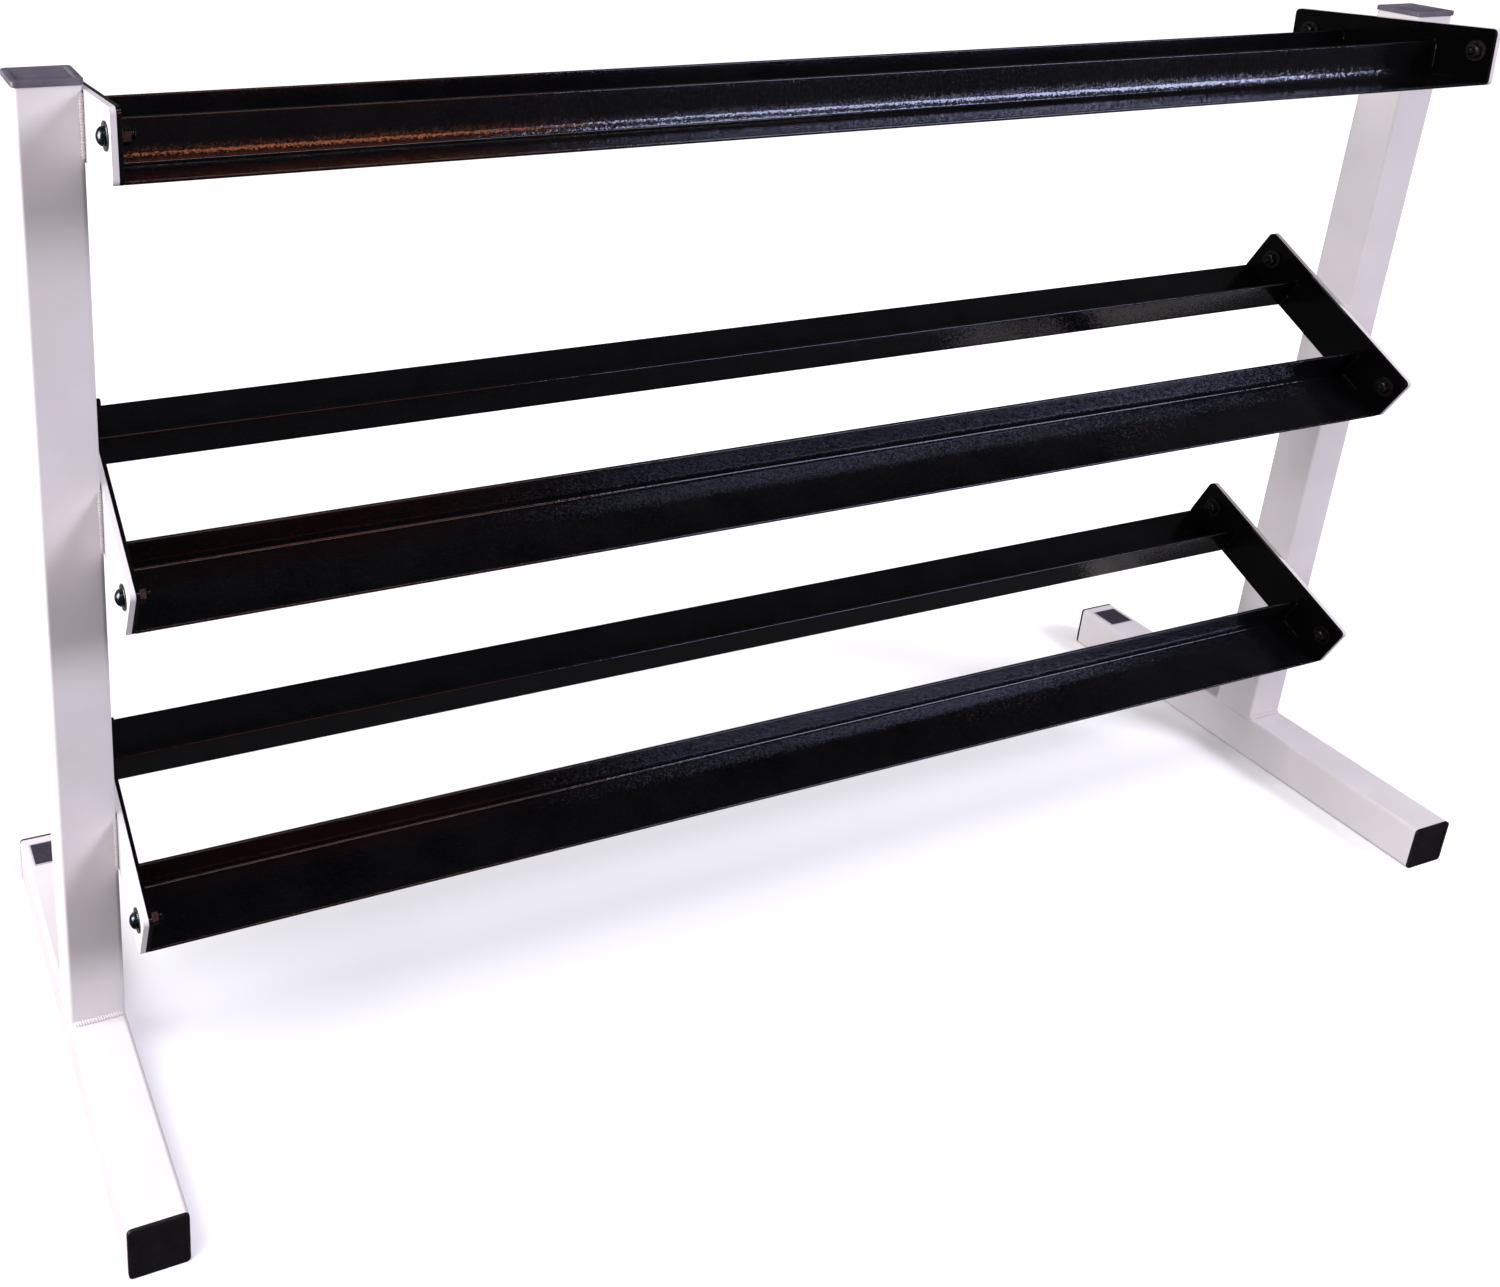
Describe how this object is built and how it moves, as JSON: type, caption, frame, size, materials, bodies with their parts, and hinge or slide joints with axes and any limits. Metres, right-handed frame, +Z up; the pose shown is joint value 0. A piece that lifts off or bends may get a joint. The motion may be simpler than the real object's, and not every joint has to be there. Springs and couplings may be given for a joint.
{
  "type": "dumbbell rack",
  "caption": "Free-standing dumbbell rack: T-shaped tube side frames carry angle-rail shelves bolted at the ends, the lower ones tilted to the front.",
  "frame": {"origin": "centre of the footprint, on the floor under the feet", "axes": "+X along the shelves to the right, -Y to the front where the lower shelves face, +Z up"},
  "size_m": [1.501, 0.5186, 0.9184],
  "materials": {
    "white_powder_coat": "satin white powder coat",
    "black_powder_coat": "semi-gloss black powder coat with a fine texture",
    "black_plastic": "matte moulded plastic",
    "black_oxide": "black oxide",
    "label_film": "blank printed film"
  },
  "bodies": {
    "root": {"bottom_front_rail": "black_powder_coat", "bottom_left_bracket": "white_powder_coat", "bottom_left_end_plate": "black_powder_coat", "bottom_left_front_bolt": "black_oxide", "bottom_left_front_nut": "black_oxide", "bottom_left_rear_bolt": "black_oxide", "bottom_left_rear_nut": "black_oxide", "bottom_rear_rail": "black_powder_coat", "bottom_right_bracket": "white_powder_coat", "bottom_right_end_plate": "black_powder_coat", "bottom_right_front_bolt": "black_oxide", "bottom_right_front_nut": "black_oxide", "bottom_right_rear_bolt": "black_oxide", "bottom_right_rear_nut": "black_oxide", "left_foot_tube": "white_powder_coat", "left_front_foot_cap": "black_plastic", "left_label": "label_film", "left_rear_foot_cap": "black_plastic", "left_top_cap": "black_plastic", "left_upright": "white_powder_coat", "middle_front_rail": "black_powder_coat", "middle_left_bracket": "white_powder_coat", "middle_left_end_plate": "black_powder_coat", "middle_left_front_bolt": "black_oxide", "middle_left_front_nut": "black_oxide", "middle_left_rear_bolt": "black_oxide", "middle_left_rear_nut": "black_oxide", "middle_rear_rail": "black_powder_coat", "middle_right_bracket": "white_powder_coat", "middle_right_end_plate": "black_powder_coat", "middle_right_front_bolt": "black_oxide", "middle_right_front_nut": "black_oxide", "middle_right_rear_bolt": "black_oxide", "middle_right_rear_nut": "black_oxide", "right_foot_tube": "white_powder_coat", "right_front_foot_cap": "black_plastic", "right_label": "label_film", "right_rear_foot_cap": "black_plastic", "right_top_cap": "black_plastic", "right_upright": "white_powder_coat", "top_front_rail": "black_powder_coat", "top_left_bracket": "white_powder_coat", "top_left_end_plate": "black_powder_coat", "top_left_front_bolt": "black_oxide", "top_left_front_nut": "black_oxide", "top_left_rear_bolt": "black_oxide", "top_left_rear_nut": "black_oxide", "top_rear_rail": "black_powder_coat", "top_right_bracket": "white_powder_coat", "top_right_end_plate": "black_powder_coat", "top_right_front_bolt": "black_oxide", "top_right_front_nut": "black_oxide", "top_right_rear_bolt": "black_oxide", "top_right_rear_nut": "black_oxide"}
  },
  "joints": []
}
